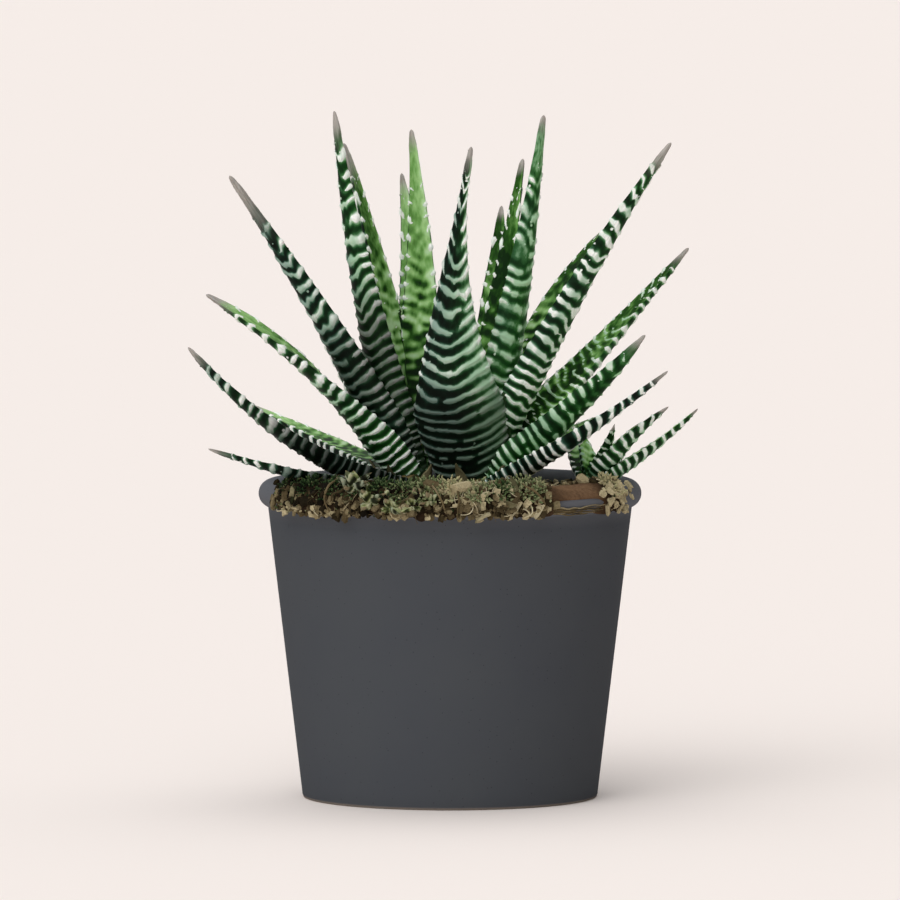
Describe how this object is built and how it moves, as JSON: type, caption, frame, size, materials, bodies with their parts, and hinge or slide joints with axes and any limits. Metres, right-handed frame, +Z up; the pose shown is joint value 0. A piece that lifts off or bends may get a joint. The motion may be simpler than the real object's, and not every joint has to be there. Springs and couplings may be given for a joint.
{
  "type": "potted haworthia",
  "caption": "Zebra haworthia clump with pointed, white-banded leaves in a tapered round pot with a rolled lip.",
  "frame": {"origin": "centre of the pot's foot, on the surface that it stands on", "axes": "+Z up along the pot's axis; -Y towards the front, where the soil spills over the lip; +X towards the young rosette"},
  "size_m": [0.133, 0.1157, 0.1795],
  "materials": {
    "pot": "matte anthracite glaze",
    "soil": "rough potting mix with bark, roots and dry leaf bases",
    "stem": "dull pale brown",
    "leaf": "waxy dark green with raised white bands"
  },
  "bodies": {
    "root": {"pot": "pot", "soil": "soil", "stem_left": "stem", "stem_right": "stem", "stem_pup": "stem", "leaf_left_01": "leaf", "leaf_left_02": "leaf", "leaf_left_03": "leaf", "leaf_left_04": "leaf", "leaf_left_05": "leaf", "leaf_left_06": "leaf", "leaf_left_07": "leaf", "leaf_left_08": "leaf", "leaf_left_09": "leaf", "leaf_left_10": "leaf", "leaf_left_11": "leaf", "leaf_left_12": "leaf", "leaf_right_01": "leaf", "leaf_right_02": "leaf", "leaf_right_03": "leaf", "leaf_right_04": "leaf", "leaf_right_05": "leaf", "leaf_right_06": "leaf", "leaf_right_07": "leaf", "leaf_right_08": "leaf", "leaf_right_09": "leaf", "leaf_right_10": "leaf", "leaf_right_11": "leaf", "leaf_right_12": "leaf", "leaf_right_13": "leaf", "leaf_pup_01": "leaf", "leaf_pup_02": "leaf", "leaf_pup_03": "leaf", "leaf_pup_04": "leaf", "leaf_pup_05": "leaf", "leaf_pup_06": "leaf"}
  },
  "joints": []
}
